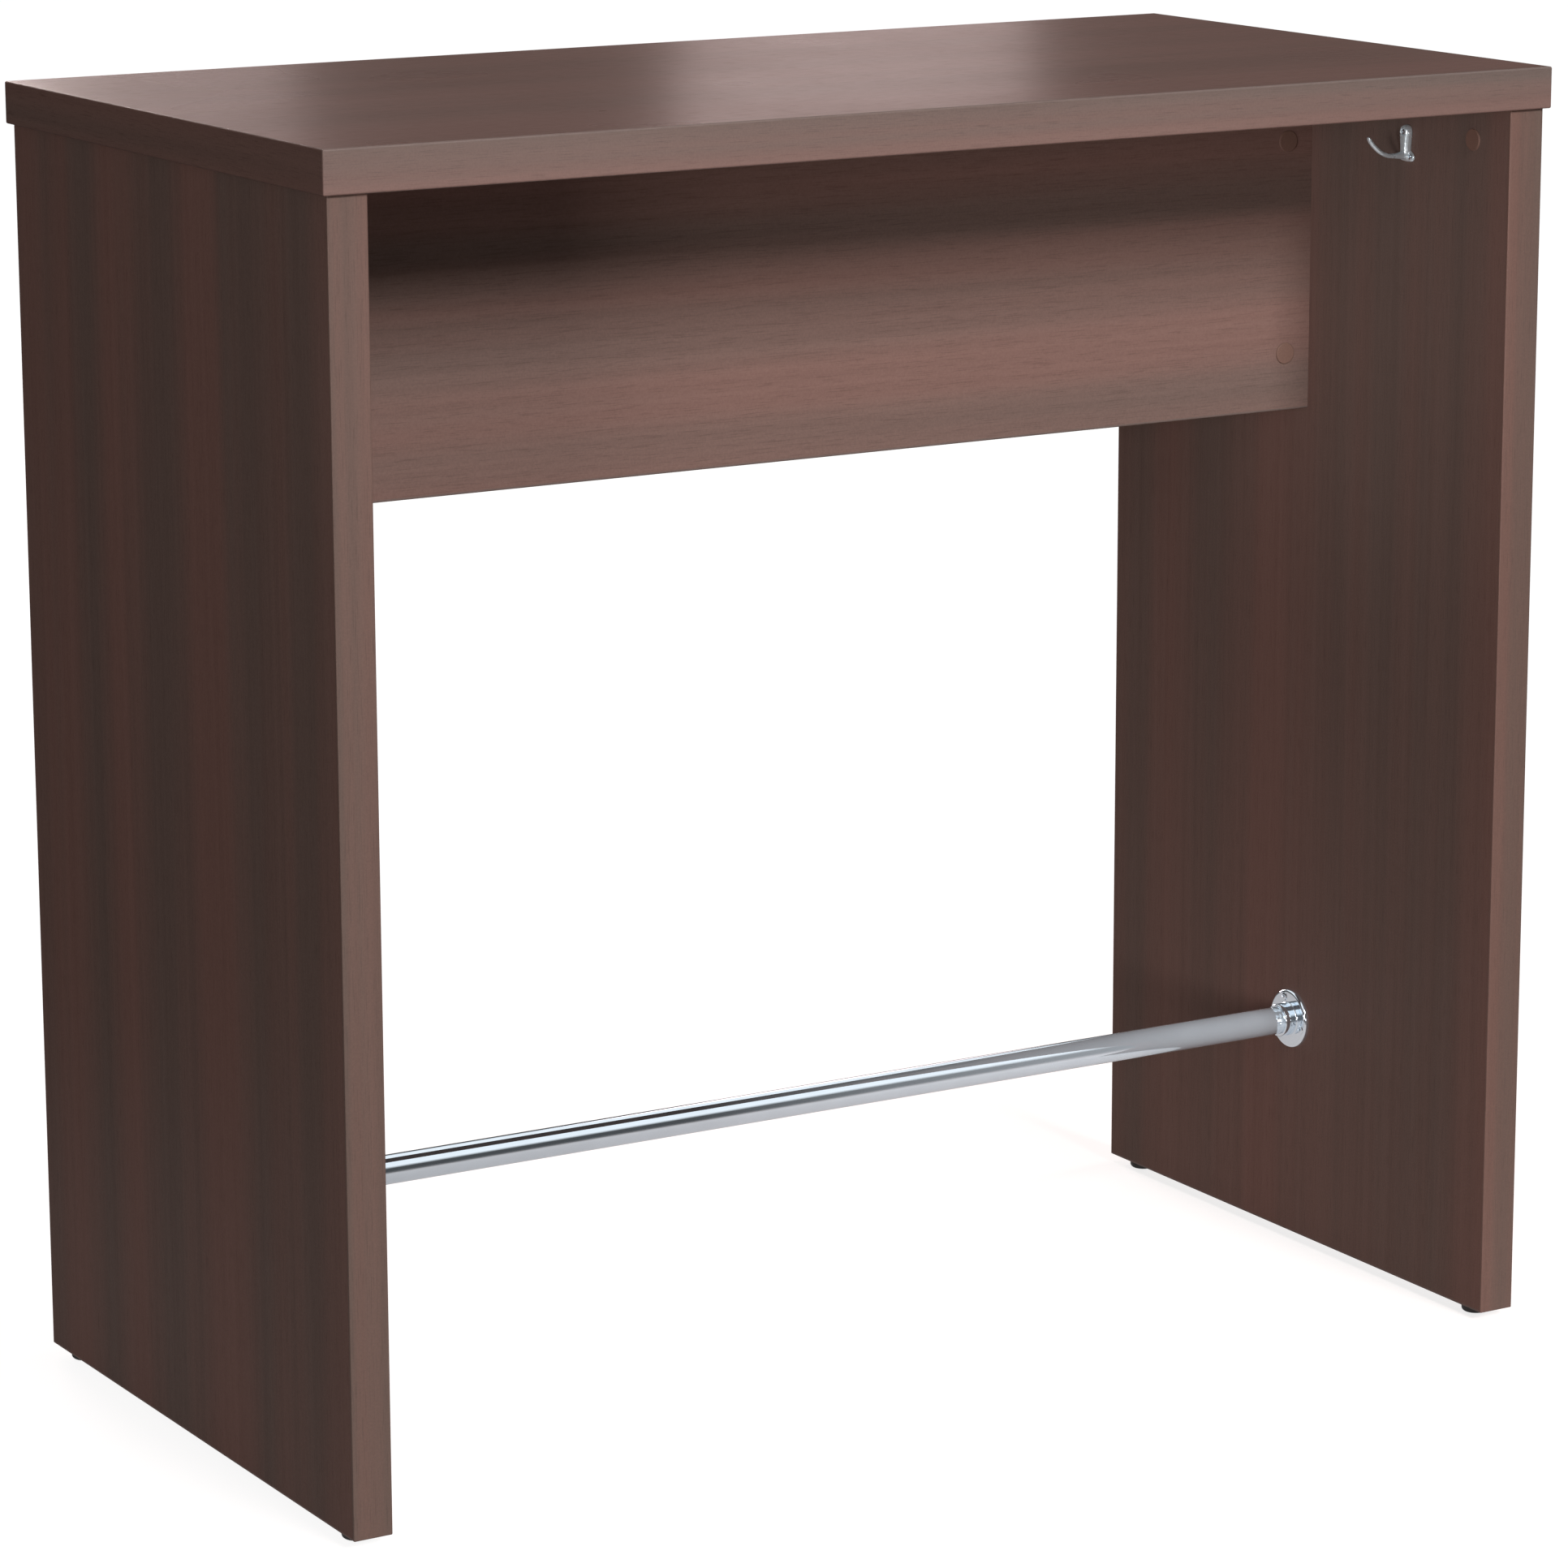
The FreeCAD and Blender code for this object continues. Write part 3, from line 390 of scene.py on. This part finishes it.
def footRail():
    look = railLook
    low, high = (np.array(c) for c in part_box("foot_rail"))
    outer = (high[2] - low[2]) / 2
    inner = outer - look["wall"]
    length = high[0] - low[0]
    run = np.linspace(look["chamfer"], length - look["chamfer"], look["rings"])
    outside = np.stack([np.full_like(run, outer), run], axis=-1)
    inside = np.stack([np.full_like(run, inner), run[::-1]], axis=-1)
    lip = [[outer - look["chamfer"], length], [inner + look["chamfer"], length]]
    foot = [[inner + look["chamfer"], 0.0], [outer - look["chamfer"], 0.0]]
    grid = lathe(np.concatenate([outside, lip, inside, foot]), look["steps"])
    middle = (low + high) / 2
    # the lathe's axis is laid along X
    along = np.stack([grid[..., 2] + low[0], grid[..., 0] + middle[1], grid[..., 1] + middle[2]], axis=-1)
    tube = surface("foot_rail_tube", along, True, True)
    railChrome = chromePlate("railChrome", "X", 3.0, look["plate"])
    return finishPiece(tube, railChrome, "desk", "chrome", "foot_rail")


footRail()
print("foot rail turned")


# Levelling stems: the radius follows a trapezium wave of height over pitch, less the turn round the axis

stemLook = {
    "pitch": 0.00125,
    "depth": 0.0007,
    "steps": 48,
    "perPitch": 10,
    "flank": 3.2,       # slope of the thread's flanks
    "crest": 0.3,       # how much of the wave is cut off for the crest
    "lead": 0.001,      # length over which the stem's upper end narrows
    "leadSize": 0.75,
}


def levellingStem(name, body, material):
    look = stemLook
    low, high = (np.array(c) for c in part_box(name))
    radius = (high[0] - low[0]) / 2
    length = high[2] - low[2]
    rows = int(length / look["pitch"] * look["perPitch"])
    h = np.linspace(0, length, rows)[:, None]
    t = np.linspace(0, 2 * np.pi, look["steps"], endpoint=False)[None, :]
    phase = np.mod(h / look["pitch"] - t / (2 * np.pi), 1.0)
    wave = np.clip(np.abs(phase - 0.5) * look["flank"] - look["crest"], 0, 1)
    fade = np.clip((length - h) / look["lead"], 0, 1)
    r = (radius - look["depth"] * wave) * (look["leadSize"] + (1 - look["leadSize"]) * fade)
    pole = np.zeros((1, look["steps"]))
    r = np.concatenate([pole, r, pole])
    h = np.concatenate([h[:1], h, h[-1:]])
    middle = (low + high) / 2
    grid = np.stack([middle[0] + r * np.cos(t), middle[1] + r * np.sin(t), low[2] + h + 0 * t], axis=-1)
    stem = surface(name + "_thread", grid[:, ::-1], False, True)
    return finishPiece(stem, material, body, "stem_steel", name)


stemSteel = mottled("stemSteel")
for corner in corners:
    levellingStem(corner + "_foot_stem", corner + "_leveller", stemSteel)
print("levelling stems threaded")


# Bag hook: crowned spine, two thin wings and an upturned prong, cast in one
# (in millimetres: outlines as half width and height, the path as reach and height)

hookLook = {
    "spine": [(0, 18), (4.4, 16.2), (6.2, 11.8), (5.6, 6), (4.9, -1), (4.7, -6), (3.8, -10.4), (0, -12.2)],
    "spineThick": 6.5,
    "spinePower": 3.2,
    "wings": [(0, -3.6), (4.2, -4.2), (7.2, -5.6), (9.6, -7.7), (10.3, -10.3), (8.1, -13.2),
              (4.2, -13.7), (0, -14)],
    "wingThick": 3.0,
    "wingPower": 2.6,
    "ridge": 5.0,            # how far the crown's middle line stops short of the outline's ends
    "outlineSteps": 120,
    "crownRings": 14,
    "crownSpan": (0.05, 0.9),
    "rimRings": 10,
    "rimSpan": (0.08, 0.001),    # distances from the rim
    "path": [(1.5, -7.6), (6.5, -8.2), (14.1, -8.3), (22.7, -7.3), (30.6, -3.6), (37.5, 2.3),
             (41.2, 6.8), (42.5, 9.4)],
    "ovals": [(3.9, 4.6), (3.5, 3.4), (3.1, 2.3), (3.0, 2.0), (3.0, 1.85), (3.0, 1.8),
              (2.7, 1.6), (1.3, 0.9)],
    "prongRows": 90,
    "prongSides": 40,
    "voxel": 0.32,
    "polish": (0.5, 12),     # strength and rounds of smoothing
    "screws": [(0.0, 11.8, 5.3), (6.9, -9.3, 3.0), (-6.9, -9.3, 3.0)],    # across, height, head's level
    "headRadius": 2.65,
    "seatDepth": 0.35,
    "seatSlope": 2.2,
    "seatReach": 5.5,
    "seatAbove": 0.5,
    "plate": {**chromeLook, "colour": (0.8, 0.93, 1.0), "roughness": (0.24, 0.3), "metallic": 0.5,
              "specular": 1.0},
}


def cubic(a, b, c, d, f):
    # Catmull-Rom curve from b to c as f goes from 0 to 1, with a before and d after them
    bend = (2 * a - 5 * b + 4 * c - d) * f ** 2
    twist = (3 * b - 3 * c + d - a) * f ** 3
    return 0.5 * (2 * b + (c - a) * f + bend + twist)


def smoothLoop(points, count):
    # closed curve through points, sampled evenly in its parameter
    p = np.asarray(points, float)
    u = np.linspace(0, len(p), count, endpoint=False)
    k = np.floor(u).astype(int)
    return cubic(*(p[(k + s) % len(p)] for s in (-1, 0, 1, 2)), (u - k)[:, None])


def smoothRun(points, count):
    # open curve through points, each end carried on by its own last step
    p = np.asarray(points, float)
    p = np.concatenate([2 * p[:1] - p[1:2], p, 2 * p[-1:] - p[-2:-1]])
    u = np.linspace(0, len(p) - 3 - 1e-9, count)
    k = np.floor(u).astype(int)
    return cubic(*(p[k + s] for s in (0, 1, 2, 3)), (u - k)[:, None])


def crownedPlate(half, thick, power, look):
    # the outline shrinks to its middle line as s goes from 1 to 0,
    # while the face rises from the panel to its thickness by a superellipse of s
    half = np.asarray(half, float)
    steps = look["outlineSteps"]
    mirrored = half[1:-1][::-1] * [-1, 1]
    edge = smoothLoop(np.concatenate([half, mirrored]), steps)
    ridge = np.clip(edge[:, 1], half[-1, 1] + look["ridge"], half[0, 1] - look["ridge"])
    middle = np.stack([np.zeros(steps), ridge], axis=-1)
    # rings are even on the crown and closer and closer towards the rim, where the face is steep
    crown = np.linspace(*look["crownSpan"], look["crownRings"])
    rim = 1 - np.geomspace(*look["rimSpan"], look["rimRings"])
    s = np.concatenate([[1e-3], crown, rim, [1.0]])
    rise = thick * (1 - s ** power) ** (1 / power)
    flat = middle[None] + s[:, None, None] * (edge - middle)[None]
    face = np.concatenate([np.repeat(rise[:, None, None], steps, axis=1), flat], axis=-1)
    back = face[::-1].copy()
    back[..., 0] = 0.0
    return np.concatenate([face, back])


def hookProng(look):
    # ellipses that stand square to the path, with half widths across and in its bend from the ovals
    path = smoothRun(look["path"], look["prongRows"])
    ovals = smoothRun(look["ovals"], look["prongRows"])
    ahead = np.gradient(path, axis=0)
    ahead /= np.linalg.norm(ahead, axis=1, keepdims=True)
    t = np.linspace(0, 2 * np.pi, look["prongSides"], endpoint=False)[None, :]
    wide = ovals[:, 0:1] * np.cos(t)
    deep = ovals[:, 1:2] * np.sin(t)
    out = path[:, 0:1] - ahead[:, 1:2] * deep
    up = path[:, 1:2] + ahead[:, 0:1] * deep
    prong = np.stack([out, wide, up], axis=-1)
    # each end is closed by a pole at the middle of its last ellipse
    first, last = (np.tile(row.mean(axis=0), (1, look["prongSides"], 1)) for row in (prong[0], prong[-1]))
    return np.concatenate([first, prong, last])


def bagHook():
    look = hookLook
    low, high = (np.array(c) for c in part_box("bag_hook"))
    origin = np.array([high[0], (low[1] + high[1]) / 2, high[2] - look["spine"][0][1] * mm])
    outward = np.array([-1, 1, 1])    # the hook stands out from the panel towards -X
    grids = [
        crownedPlate(look["spine"], look["spineThick"], look["spinePower"], look),
        crownedPlate(look["wings"], look["wingThick"], look["wingPower"], look),
        hookProng(look),
    ]
    pieces = [surface("hookPart%d" % k, origin + grid * outward * mm, False, True)
              for k, grid in enumerate(grids)]
    with bpy.context.temp_override(active_object=pieces[0], selected_editable_objects=pieces):
        bpy.ops.object.join()
    hook = pieces[0]
    hook.name = "bag_hook_casting"
    remesh = hook.modifiers.new("Casting", "REMESH")
    remesh.mode = "VOXEL"
    remesh.voxel_size = look["voxel"] * mm
    soften = hook.modifiers.new("Polish", "SMOOTH")
    soften.factor, soften.iterations = look["polish"]
    depsgraph = bpy.context.evaluated_depsgraph_get()
    mesh = bpy.data.meshes.new_from_object(hook.evaluated_get(depsgraph))
    hook.modifiers.clear()
    hook.data = mesh
    # screw seats: the face is cut down to the head's level, with a cone opening outwards round it
    co = np.empty(len(mesh.vertices) * 3)
    mesh.vertices.foreach_get("co", co)
    local = (co.reshape(-1, 3) - origin) * outward / mm
    for y, z, seat in look["screws"]:
        r = np.hypot(local[:, 1] - y, local[:, 2] - z)
        limit = seat - look["seatDepth"] + np.maximum(r - look["headRadius"], 0) * look["seatSlope"]
        near = (r < look["seatReach"]) & (local[:, 0] < look["spineThick"] + look["seatAbove"])
        local[:, 0] = np.where(near, np.minimum(local[:, 0], limit), local[:, 0])
    local[:, 0] = np.maximum(local[:, 0], 0.0)    # nothing goes into the panel
    mesh.vertices.foreach_set("co", (origin + local * outward * mm).ravel())
    mesh.update()
    shadeSmooth(mesh)
    hookChrome = chromePlate("hookChrome", None, 4.0, look["plate"])
    return finishPiece(hook, hookChrome, "desk", "chrome", "bag_hook")


bagHook()
print("bag hook cast")


# Floor

floorLook = {
    "size": 30.0,
    "colour": (0.37, 0.325, 0.31),
    "far": (0.05, 0.05, 0.05),
    "lift": 0.79,                      # what the camera sees added near the desk, 1 being white
    "shift": (-0.6, 0.0, 0.0),
    "clear": (0.5, 1.7),               # distances over which the lift grows to white
    "gloss": 0.3,                      # what metal sees of the lift near the desk
    "glossShift": (0.0, -0.3, 0.0),
    "glossReach": (0.85, 1.45),
    "roughness": 0.9,
    "specular": 0.1,
}


def farFrom(tree, place, shift):
    # distance from a point of the floor, which the shift brings to the origin
    shifted = tree.nodes.new("ShaderNodeVectorMath")
    shifted.inputs[1].default_value = shift
    tree.links.new(place, shifted.inputs[0])
    reach = tree.nodes.new("ShaderNodeVectorMath")
    reach.operation = "LENGTH"
    tree.links.new(shifted.outputs["Vector"], reach.inputs[0])
    return reach.outputs["Value"]


def seenByMetal(tree, ray):
    return combine(tree, "MAXIMUM", ray.outputs["Is Glossy Ray"], ray.outputs["Is Transmission Ray"])


def paleFloor(name, look):
    # cameras see the floor lifted to white, wholly so away from the desk, and metal sees part of that lift
    material, tree, shader, place = startMaterial(name)
    away = spread(tree, farFrom(tree, place, look["shift"]), *look["clear"], 0.0, 1.0)
    tree.links.new(blendColours(tree, away, look["colour"], look["far"]), shader.inputs["Base Color"])
    shader.inputs["Roughness"].default_value = look["roughness"]
    shader.inputs["Specular IOR Level"].default_value = look["specular"]
    ray = tree.nodes.new("ShaderNodeLightPath")
    lift = spread(tree, away, 0.0, 1.0, look["lift"], 1.0)
    lift = combine(tree, "MULTIPLY", lift, ray.outputs["Is Camera Ray"])
    near = spread(tree, farFrom(tree, place, look["glossShift"]), *look["glossReach"], look["gloss"], 0.0)
    mirrored = combine(tree, "MULTIPLY", seenByMetal(tree, ray), near)
    shader.inputs["Emission Color"].default_value = (1.0, 1.0, 1.0, 1.0)
    tree.links.new(combine(tree, "MAXIMUM", lift, mirrored), shader.inputs["Emission Strength"])
    return material


rows = np.linspace(-floorLook["size"] / 2, floorLook["size"] / 2, 3)
floorX, floorY = np.meshgrid(rows, rows, indexing="ij")
floor = surface("studioFloor", np.stack([floorX, floorY, np.zeros_like(floorX)], axis=-1))
floor.data.materials.append(paleFloor("studioFloor", floorLook))


# Lamps: softboxes, and a spot whose cone fades from its axis to its edge

lampLooks = {
    "key": {"at": (0.6, -7.3, 4.7), "aim": (0.0, 0.0, 0.6), "size": (2.1, 2.1), "power": 655.0,
            "colour": (1.0, 1.0, 1.0)},
    "leftFill": {"at": (-7.4, -5.2, 1.3), "aim": (0.0, 0.0, 0.6), "size": (1.7, 1.7), "power": 220.0,
                 "colour": (1.0, 0.9, 0.87)},
    "lowFill": {"at": (-1.2, -6.5, 0.6), "aim": (0.0, 0.0, 0.7), "size": (1.6, 1.0), "power": 30.0,
                "colour": (1.0, 0.9, 0.87)},
    "rightFill": {"at": (7.0, 0.6, 2.4), "aim": (0.0, 0.0, 0.6), "size": (2.0, 2.0), "power": 200.0,
                  "colour": (1.0, 0.87, 0.84)},
    "rearFill": {"at": (0.8, 6.2, 1.8), "aim": (0.0, 0.0, 0.6), "size": (2.0, 2.0), "power": 240.0,
                 "colour": (1.0, 0.87, 0.84)},
    "stripRight": {"at": (1.888, 2.966, 1.5), "aim": (0.0, 0.0, 1.1), "size": (0.51, 1.5), "power": 3.9,
                   "colour": (1.0, 0.81, 0.79)},
    "stripLeft": {"at": (0.96, 3.46, 1.5), "aim": (-0.4, 0.0, 1.1), "size": (0.5, 1.5), "power": 2.5,
                  "colour": (1.0, 0.81, 0.79)},
    "hookSpot": {"at": (-1.5, -0.85, 0.9), "aim": (0.53, -0.11, 0.95), "cone": 19.0, "blend": 1.0,
                 "radius": 0.12, "power": 27.0, "colour": (1.0, 1.0, 1.0)},
}


def facing(look):
    # turn that points a lamp or a camera from where it stands to its aim
    return (Vector(look["aim"]) - Vector(look["at"])).to_track_quat("-Z", "Y")


def hangLamp(name, look):
    lamp = bpy.data.lights.new(name, "SPOT" if "cone" in look else "AREA")
    if "cone" in look:
        lamp.spot_size = np.radians(look["cone"])
        lamp.spot_blend = look["blend"]
        lamp.shadow_soft_size = look["radius"]
    else:
        lamp.shape = "RECTANGLE"
        lamp.size, lamp.size_y = look["size"]
    lamp.energy = look["power"]
    lamp.color = look["colour"]
    obj = bpy.data.objects.new(name, lamp)
    obj.location = look["at"]
    obj.rotation_euler = facing(look).to_euler()
    scene.collection.objects.link(obj)


for name, look in lampLooks.items():
    hangLamp(name, look)


# Surroundings: white to the camera, white overhead and dusky round the horizon to metal, else a warm fill

worldLook = {
    "fill": 0.15,
    "fillColour": (1.0, 0.85, 0.82),
    "dusk": 0.05,
    "duskTop": (0.34, 0.55),    # heights of the heading at which the dusk starts to clear and is gone
}


def studioWorld(name, look):
    world = bpy.data.worlds.new(name)
    world.use_nodes = True
    tree = world.node_tree
    ray = tree.nodes.new("ShaderNodeLightPath")
    background = tree.nodes["Background"]
    heading = tree.nodes.new("ShaderNodeTexCoord").outputs["Generated"]
    split = tree.nodes.new("ShaderNodeSeparateXYZ")
    tree.links.new(heading, split.inputs["Vector"])
    dusk = spread(tree, split.outputs["Z"], *look["duskTop"], look["dusk"], 1.0)
    mirrored = seenByMetal(tree, ray)
    seen = combine(tree, "MAXIMUM", combine(tree, "MULTIPLY", mirrored, dusk), ray.outputs["Is Camera Ray"])
    other = combine(tree, "MULTIPLY", combine(tree, "SUBTRACT", 1.0, mirrored), look["fill"])
    tree.links.new(combine(tree, "MAXIMUM", seen, other), background.inputs["Strength"])
    plain = combine(tree, "MAXIMUM", mirrored, ray.outputs["Is Camera Ray"])
    colour = blendColours(tree, plain, look["fillColour"], (1.0, 1.0, 1.0))
    tree.links.new(colour, background.inputs["Color"])
    return world


scene.world = studioWorld("studio", worldLook)


# Camera

cameraLook = {
    "at": (-2.45394, -4.10621, 1.58058),
    "aim": (-0.00298, 0.0, 0.49355),
    "roll": -0.1663,    # degrees
    "lens": 131.5,
    "sensor": 36.0,
}
lens = bpy.data.cameras.new("photoView")
lens.sensor_width = cameraLook["sensor"]
lens.lens = cameraLook["lens"]
camera = bpy.data.objects.new("photoView", lens)
turn = facing(cameraLook) @ Quaternion((0.0, 0.0, 1.0), np.radians(cameraLook["roll"]))
camera.matrix_world = Matrix.Translation(cameraLook["at"]) @ turn.to_matrix().to_4x4()
scene.collection.objects.link(camera)
scene.camera = camera
print("stage lit and camera set")
